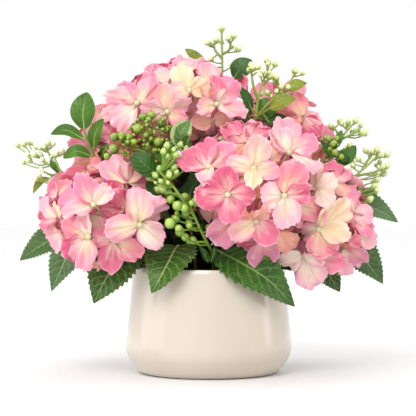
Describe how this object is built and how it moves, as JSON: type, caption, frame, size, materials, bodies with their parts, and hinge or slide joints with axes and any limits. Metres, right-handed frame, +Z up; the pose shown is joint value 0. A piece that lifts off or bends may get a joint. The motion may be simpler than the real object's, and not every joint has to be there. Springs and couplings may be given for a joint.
{
  "type": "potted hydrangea",
  "caption": "Potted hydrangea: pink mop-head flower heads, toothed leaves, berry sprays and a leaf sprig in a round glazed cream pot that stands on its flat base.",
  "frame": {"origin": "centre of the pot's flat underside, on the surface that it stands on", "axes": "+Z up along the pot's axis; -Y towards the viewer, the side that shows the fullest flower heads; +X to the viewer's right"},
  "size_m": [0.3217, 0.225, 0.2973],
  "materials": {
    "pot_glaze": "smooth glossy cream glaze",
    "soil": "loose dark potting mix of bark and peat",
    "stem_green": "satin green stem skin",
    "spray_green": "satin pale green stems, buds and berries",
    "leaf_green": "satin veined leaf",
    "petal_pink": "soft matte petal, cream at the centre and pink at the edge"
  },
  "bodies": {
    "root": {"pot": "pot_glaze", "potting_soil": "soil", "hydrangea_stem_1": "stem_green", "hydrangea_stem_2": "stem_green", "hydrangea_stem_3": "stem_green", "hydrangea_stem_4": "stem_green", "hydrangea_stem_5": "stem_green", "hydrangea_stem_6": "stem_green", "hydrangea_stem_7": "stem_green", "hydrangea_stem_8": "stem_green", "berry_spray_1": "spray_green", "berry_spray_2": "spray_green", "berry_spray_3": "spray_green", "berry_spray_4": "spray_green", "berry_spray_5": "spray_green", "berry_spray_6": "spray_green", "berry_spray_7": "spray_green", "berry_spray_8": "spray_green", "berry_spray_9": "spray_green", "berry_spray_10": "spray_green", "leaf_sprig": "leaf_green", "hydrangea_leaf_1": "leaf_green", "hydrangea_leaf_2": "leaf_green", "hydrangea_leaf_3": "leaf_green", "hydrangea_leaf_4": "leaf_green", "hydrangea_leaf_5": "leaf_green", "hydrangea_leaf_6": "leaf_green", "hydrangea_leaf_7": "leaf_green", "hydrangea_leaf_8": "leaf_green", "hydrangea_leaf_9": "leaf_green", "hydrangea_leaf_10": "leaf_green", "hydrangea_leaf_11": "leaf_green", "hydrangea_leaf_12": "leaf_green", "flower_head_1": "petal_pink", "flower_head_2": "petal_pink", "flower_head_3": "petal_pink", "flower_head_4": "petal_pink", "flower_head_5": "petal_pink", "flower_head_6": "petal_pink", "flower_head_7": "petal_pink", "flower_head_8": "petal_pink"}
  },
  "joints": []
}
